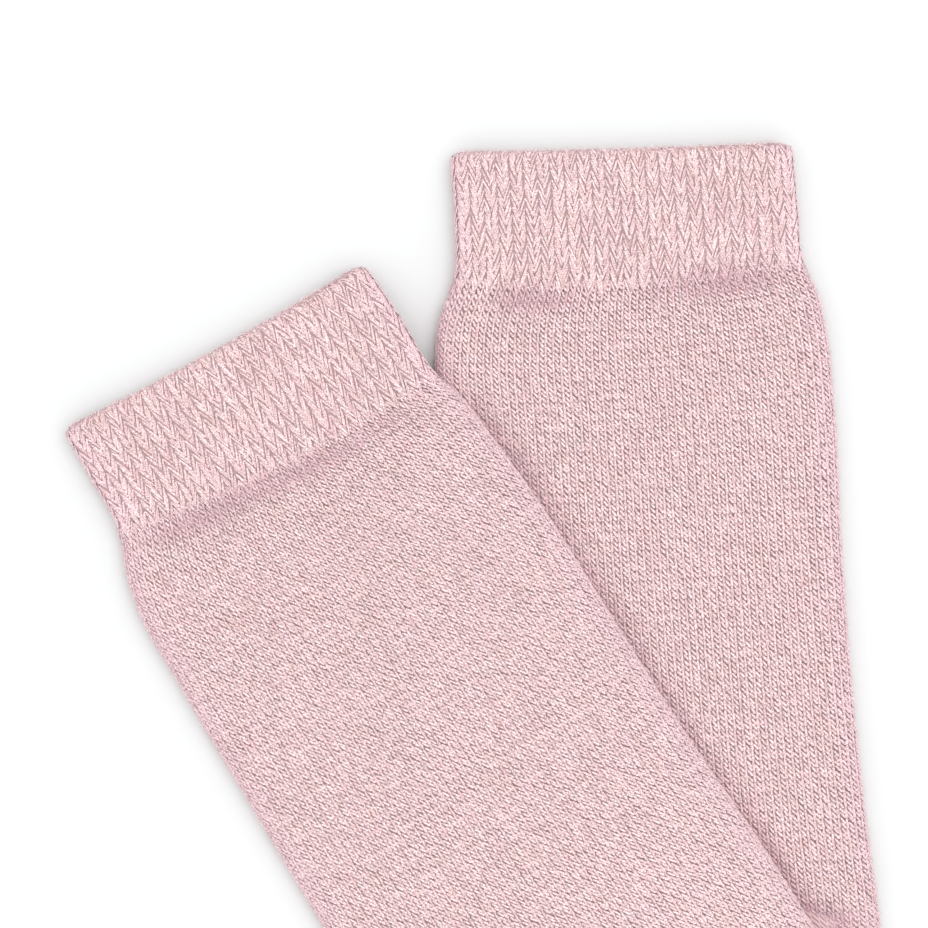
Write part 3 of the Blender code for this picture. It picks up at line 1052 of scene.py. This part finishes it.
def cuff_shell(name, run):
    """The cuff's cloth, turning over its top in a half-round welt."""
    steps = RIBS_ROUND * POINTS_PER_RIB
    alongs = even_steps(WELT_RADIUS, CUFF_LENGTH, CUFF_RING_STEP)
    over_welt = WELT_RADIUS - WELT_RADIUS * np.linspace(0, math.pi, WELT_RINGS)[1:-1]
    outside = np.concatenate([alongs[::-1], over_welt])
    rings = list(skin(run, outside, steps, cuff_ground_height, 0.0))
    rings += list(skin(run, alongs, steps, flat, WALL))
    rings.append(rings[0])
    places = np.concatenate([outside, alongs, alongs[-1:]])
    cloth = shell_of_rings(name, rings, places, len(outside), nowhere_bare)
    cloth.flip_normals()
    return cloth


def tip_bulge(run, ring, along):
    """How far forward the points of a ring near the toe's tip are rounded in plan."""
    ahead, outward = foot_axes(run.sock)[1:]
    half = half_and_radius(run, TOE_END)[0]
    across = (ring[:, :2] - ring[:, :2].mean(axis=0)) @ outward
    near = smoothstep(1 - (TOE_END - along) / TIP_BULGE_RUN)
    return column(TIP_BULGE * near * np.maximum(1 - (across / half) ** 2, 0.0)) * ahead


def pressed_flat(ring):
    """A ring at its own mean height, where the two faces of the tube meet."""
    closing = ring.copy()
    closing[:, 2] = ring[:, 2].mean()
    return closing


def toe_shell(name, run):
    """The toe's cloth, rounded at its tip and closed inside."""
    share = np.sin(np.linspace(0, math.pi / 2, TOE_RINGS))
    alongs = TOE_START + (TOE_END - TOE_START) * share
    rings = list(skin(run, alongs, WALES_ROUND, ground_height, 0.0))
    for ring, along in zip(rings, alongs):
        ring[:, :2] += tip_bulge(run, ring, along)
    turns = np.radians(TIP_TURNS)
    ahead = foot_axes(run.sock)[1]
    for turn in turns:
        inset = TOE_ROUND * (1 - math.cos(turn))
        ring = skin(run, [TOE_END], WALES_ROUND, ground_height, inset)[0]
        ring[:, :2] += ahead * TOE_ROUND * math.sin(turn) + tip_bulge(run, ring, TOE_END)
        rings.append(ring)
    rings.append(pressed_flat(rings[-1]))
    inner_alongs = alongs[alongs < TOE_END - TOE_CLOSES_BEFORE][::-1]
    inner = list(skin(run, inner_alongs, WALES_ROUND, flat, WALL))
    outer_rings = len(rings)
    rings += [pressed_flat(inner[0]), *inner, rings[0]]
    places = [alongs, TOE_END + TOE_ROUND * np.sin(turns), [TOE_END + TOE_ROUND] * 2]
    places += [inner_alongs, alongs[:1]]
    return shell_of_rings(name, rings, np.concatenate(places), outer_rings, toe_underside)


# ---- materials

# Colours of the yarn, as linear shares of red, green and blue. The crest white is a painted
# highlight, the edge and gap pinks are painted shade at the strokes' edges and between them,
# the rose of troughs is painted shade in the troughs and where the upper sock presses the
# lower one, and the nap pink is partly the nap's paler look and partly painted sheen along
# the folds
CREST_HIGHLIGHT_WHITE = (0.99, 0.855, 0.865)
BODY_PINK = (0.845, 0.595, 0.615)
RIB_PINK = (0.766, 0.53, 0.541)
NAP_AND_SHEEN_PINK = (0.84, 0.60, 0.645)
EDGE_SHADE_PINK = (0.60, 0.41, 0.425)
RIB_EDGE_SHADE_PINK = (0.74, 0.515, 0.53)
GAP_SHADE_PINK = (0.31, 0.20, 0.205)
RIB_GAP_SHADE_PINK = (0.43, 0.29, 0.297)
HOLLOW_SHADE_ROSE = (0.80, 0.73, 0.78)

# What patches of the dye take from those colours
CREAM = (1.0, 0.99, 0.965)
ROSE = (1.0, 0.965, 0.975)
SILVER = (0.975, 1.0, 1.0)

# Sizes of the dye's patches, the yarn's fibres and the ground's wool, in millimetres
PATCH_SIZE = 4.0
GRAIN_SIZE = 0.34
GROUND_SIZE = 0.9

# From where to where these set in, a stroke's body over its painted edge shade, its painted
# white highlight, and a bare stitch's strand
PATCH_RAMP = (0.5, 0.7)
GRAIN_RAMP = (0.36, 0.64)
GROUND_RAMP = (0.42, 0.66)
BODY_RAMP = (0.0, 0.65)
WHITE_RAMP = (0.45, 0.95)
STRAND_RAMP = (0.3, 0.48)

# Brightness: the least, what fibres and a stroke's tone add, and a bare stitch's fall
LEAST_BRIGHT = 0.68
GRAIN_BRIGHT = 0.62
TONE_BRIGHT = 0.05
STITCH_FALL = 1.4

# The share of the folds' colour that is the nap's paler look and painted sheen, and the
# wool's bumps in millimetres and finish
NAP_AND_SHEEN_SHARE = 0.5
YARN_BUMP = 0.3
STITCH_BUMP = 0.35
BUMP_STRENGTH = 0.8
YARN_ROUGHNESS = 0.72
GROUND_ROUGHNESS = 0.85
FINISH = {
    "Metallic": 0.0,
    "Specular IOR Level": 0.35,
    "Sheen Weight": 0.4,
    "Sheen Roughness": 0.45,
    "Sheen Tint": (0.95, 0.88, 1.0),
}


class Nodes:
    """A material's node tree, with short ways to add what the wool needs."""

    def __init__(self, name):
        self.material = bpy.data.materials.new(name)
        self.material.use_nodes = True
        self.tree = self.material.node_tree
        self.shader = self.tree.nodes["Principled BSDF"]

    def add(self, kind, inputs=None, **settings):
        made = self.tree.nodes.new("ShaderNode" + kind)
        for name, value in settings.items():
            setattr(made, name, value)
        for name, value in (inputs or {}).items():
            self.feed(made.inputs[name], value)
        return made

    def feed(self, socket, value):
        if isinstance(value, bpy.types.NodeSocket):
            self.tree.links.new(value, socket)
        elif isinstance(value, tuple) and len(value) == 3 and socket.type == "RGBA":
            socket.default_value = (*value, 1.0)
        else:
            socket.default_value = value

    def math(self, operation, *values):
        made = self.add("Math", operation=operation)
        for socket, value in zip(made.inputs, values):
            self.feed(socket, value)
        return made.outputs[0]

    def mix(self, share, first, second, blend="MIX"):
        made = self.add("MixRGB", blend_type=blend)
        for socket, value in zip(made.inputs, (share, first, second)):
            self.feed(socket, value)
        return made.outputs[0]

    def ramp(self, value, low, high):
        made = self.add("MapRange", {"Value": value, "From Min": low, "From Max": high})
        made.interpolation_type = "SMOOTHSTEP"
        return made.outputs[0]

    def noise(self, size_mm, detail, offset, output="Fac"):
        """Cloudy noise with features of about the size given."""
        place_in = self.add("TexCoord").outputs["Object"]
        mapping = self.add("Mapping", {"Vector": place_in})
        mapping.inputs["Location"].default_value = (offset, offset, offset)
        inputs = {"Vector": mapping.outputs[0], "Scale": 1 / (size_mm * MM), "Detail": detail}
        return self.add("TexNoise", inputs).outputs[output]

    def attribute(self, name):
        return self.add("Attribute", attribute_name=name).outputs["Fac"]

    def finished(self, colour, height, bump_mm, roughness):
        """Give the shader its colour, its bumps and the wool's finish."""
        self.feed(self.shader.inputs["Base Color"], colour)
        inputs = {"Height": height, "Strength": BUMP_STRENGTH, "Distance": bump_mm * MM}
        self.feed(self.shader.inputs["Normal"], self.add("Bump", inputs).outputs[0])
        for name, value in {"Roughness": roughness, **FINISH}.items():
            self.feed(self.shader.inputs[name], value)
        return self.material


def tinted(nodes, colour):
    """The yarn's uneven dye, in cream, rose and silvery patches."""
    clouds = nodes.noise(PATCH_SIZE, 1.5, 1.7, "Color")
    patches = nodes.add("SeparateColor", {"Color": clouds})
    for patch, cloud in zip((CREAM, ROSE, SILVER), patches.outputs):
        colour = nodes.mix(nodes.ramp(cloud, *PATCH_RAMP), colour, patch, "MULTIPLY")
    return colour


def yarn_wool(name, body, edge):
    """Yarn: painted shade in edges and troughs, painted crest highlight, folds paler by nap and
    painted sheen.
    """
    nodes = Nodes(name)
    crest = nodes.attribute("crest")
    # Painted shade: the stroke's edges darker than its body
    colour = nodes.mix(nodes.ramp(crest, *BODY_RAMP), edge, body)
    # Painted highlight: the crest whitened as far as the stroke's white share says
    crest = nodes.ramp(crest, *WHITE_RAMP)
    whitened = nodes.math("MULTIPLY", crest, nodes.attribute("white"))
    colour = nodes.mix(whitened, colour, CREST_HIGHLIGHT_WHITE)
    # Painted shade: rose darkening in troughs and where the upper sock presses the lower one
    colour = nodes.mix(nodes.attribute("hollow"), colour, HOLLOW_SHADE_ROSE, "MULTIPLY")
    colour = tinted(nodes, colour)
    # Partly the nap's paler look, partly painted sheen: the folds mixed towards a lavender pink
    nap_and_sheen = nodes.math("MULTIPLY", nodes.attribute("folding"), NAP_AND_SHEEN_SHARE)
    colour = nodes.mix(nap_and_sheen, colour, NAP_AND_SHEEN_PINK)
    fibres = nodes.noise(GRAIN_SIZE, 1.0, 2.2)
    grain = nodes.ramp(fibres, *GRAIN_RAMP)
    bright = nodes.math("MULTIPLY_ADD", nodes.attribute("tone"), TONE_BRIGHT, LEAST_BRIGHT)
    bright = nodes.math("MULTIPLY_ADD", grain, GRAIN_BRIGHT, bright)
    colour = nodes.add("HueSaturation", {"Color": colour, "Value": bright}).outputs[0]
    return nodes.finished(colour, fibres, YARN_BUMP, YARN_ROUGHNESS)


def ground_wool(name, slant, gap, valley):
    """Cloth under the strokes, painted shade in its gaps; where bare, its own stitches with painted
    shade between strands.
    """
    nodes = Nodes(name)
    uv = nodes.add("UVMap", uv_map="Stitches").outputs[0]
    wale, course = nodes.add("SeparateXYZ", {"Vector": uv}).outputs[:2]
    over = nodes.math("FRACT", wale)
    fall = nodes.math("MULTIPLY_ADD", over, -1.0 / math.tan(slant), course)
    arm = nodes.math("SINE", nodes.math("MULTIPLY", nodes.math("FRACT", fall), math.pi))
    strand = nodes.math("ABSOLUTE", nodes.math("SUBTRACT", over, 0.5))
    stitch = nodes.math("MAXIMUM", arm, nodes.ramp(strand, *STRAND_RAMP))
    bare = nodes.attribute("bare")
    woolly = nodes.ramp(nodes.noise(GROUND_SIZE, 2.0, 5.3), *GROUND_RAMP)
    # Painted shade in the gaps between strokes, one depth of it on the ribs' backs and another in
    # their valleys
    on_rib = nodes.math("COSINE", nodes.math("MULTIPLY", wale, math.pi))
    gap = nodes.mix(nodes.math("MULTIPLY_ADD", on_rib, -0.5, 0.5), valley, gap)
    gap = nodes.mix(woolly, gap, EDGE_SHADE_PINK)
    # Painted shade between the strands of a bare stitch
    colour = nodes.mix(nodes.math("POWER", stitch, STITCH_FALL), EDGE_SHADE_PINK, BODY_PINK)
    colour = tinted(nodes, nodes.mix(bare, gap, colour))
    height = nodes.math("MULTIPLY", stitch, bare)
    return nodes.finished(colour, height, STITCH_BUMP, GROUND_ROUGHNESS)


# ---- the socks

PLAIN_YARN = yarn_wool("yarn", BODY_PINK, EDGE_SHADE_PINK)
RIB_YARN = yarn_wool("rib_yarn", RIB_PINK, RIB_EDGE_SHADE_PINK)


def dress(run):
    """Build every stretch of a sock: its cloth, its stitches and its nap, and hide its solid."""
    sock = run.sock
    plain_ground = ground_wool(sock.name + "_ground", sock.slant, GAP_SHADE_PINK, GAP_SHADE_PINK)
    rib_ground = ground_wool(sock.name + "_rib_ground", sock.slant, RIB_GAP_SHADE_PINK, RIB_EDGE_SHADE_PINK)
    mid_leg = (CUFF_LENGTH + ANKLE_DOWN) / 2

    def stretch(part, slot, start, end, cloth, *stitches):
        name = sock.name + "_" + part
        ground, yarn = (rib_ground, RIB_YARN) if part == "cuff" else (plain_ground, PLAIN_YARN)
        base = piece_of(name + "_cloth", cloth, ground)
        laid = []
        for k, data in enumerate(stitches):
            laid.append(piece_of(f"{name}_stitches_{k}", data, yarn))
        nap = loose_fibres(name + "_nap", run, start, end)
        laid.append(piece_of(name + "_nap", nap, PLAIN_YARN))
        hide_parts(name)
        for piece in laid:
            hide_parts(name)

    cloth = cuff_shell(sock.name + "_cuff_cloth", run)
    ribs = rib_knitting("ribs", run, CUFF_LENGTH)
    stretch("cuff", "rib_knit", 0.0, CUFF_LENGTH, cloth, ribs)

    cloth = plain_shell(sock.name + "_leg_cloth", run, CUFF_LENGTH, ANKLE_DOWN, LEG_RING_STEP)
    above = plain_knitting("leg_above", run, CUFF_LENGTH - SEAM_OVERLAP, mid_leg)
    below = plain_knitting("leg_below", run, mid_leg, ANKLE_DOWN)
    stretch("leg", "plain_knit", CUFF_LENGTH, ANKLE_DOWN, cloth, above, below)

    cloth = plain_shell(sock.name + "_heel_cloth", run, HEEL_START, FOOT_START, LEG_RING_STEP)
    stitches = heel_knitting("heel", run, HEEL_START, FOOT_START)
    stretch("heel", "heel_knit", HEEL_START, FOOT_START, cloth, stitches)

    cloth = plain_shell(sock.name + "_foot_cloth", run, FOOT_START, TOE_START, FOOT_RING_STEP)
    stitches = plain_knitting("foot", run, FOOT_START, TOE_START)
    stretch("foot", "plain_knit", FOOT_START, TOE_START, cloth, stitches)

    cloth = toe_shell(sock.name + "_toe_cloth", run)
    stitches = toe_knitting("toe", run, TOE_START, TOE_END)
    stretch("toe", "toe_knit", TOE_START, TOE_END, cloth, stitches)


# ---- floor, light and camera

# The white floor and the even light over it, in metres and watts
FLOOR_HALF = 3.0
FLOOR_UNDER = 0.2 * MM
FLOOR_WHITE = (0.80, 0.815, 0.815, 1.0)
WORLD_WHITE = (1.0, 1.0, 1.0, 1.0)
WORLD_STRENGTH = 1.15
KEY_SIZE = 1.6
KEY_WATTS = 8.0
KEY_AT = (0.85, 0.35, 1.9)
CAMERA_REACH = 50.0


def make_floor():
    low, high = -FLOOR_HALF, FLOOR_HALF
    points = [(low, low, 0), (high, low, 0), (high, high, 0), (low, high, 0)]
    data = bpy.data.meshes.new("floor")
    data.from_pydata(points, [], [(0, 1, 2, 3)])
    floor = linked("floor", data)
    floor.location.z = -FLOOR_UNDER
    nodes = Nodes("floor")
    nodes.shader.inputs["Base Color"].default_value = FLOOR_WHITE
    nodes.shader.inputs["Roughness"].default_value = 1.0
    nodes.shader.inputs["Specular IOR Level"].default_value = 0.0
    data.materials.append(nodes.material)


def make_light():
    world = bpy.data.worlds.new("studio")
    world.use_nodes = True
    background = world.node_tree.nodes["Background"]
    background.inputs["Color"].default_value = WORLD_WHITE
    background.inputs["Strength"].default_value = WORLD_STRENGTH
    bpy.context.scene.world = world
    data = bpy.data.lights.new("key", "AREA")
    data.shape = "DISK"
    data.size = KEY_SIZE
    data.energy = KEY_WATTS
    key = linked("key", data)
    key.location = KEY_AT
    key.rotation_mode = "QUATERNION"
    key.rotation_quaternion = (-key.location).to_track_quat("-Z", "Y")


def make_camera():
    """Straight above the middle of the photo's frame, as wide as that frame."""
    data = bpy.data.cameras.new("camera")
    data.lens = LENS
    data.sensor_width = SENSOR
    data.clip_end = CAMERA_REACH
    camera = linked("camera", data)
    distance = FRAME_PIXELS * MM_PER_PIXEL * MM * LENS / SENSOR
    camera.location = (OFFSET[0] * MM, OFFSET[1] * MM, LEG_THICK / 2 * MM + distance)
    bpy.context.scene.camera = camera


bpy.context.scene.view_settings.view_transform = "Standard"
make_camera()
make_light()
make_floor()
for run in (RUNS["lower"], RUNS["upper"]):
    dress(run)
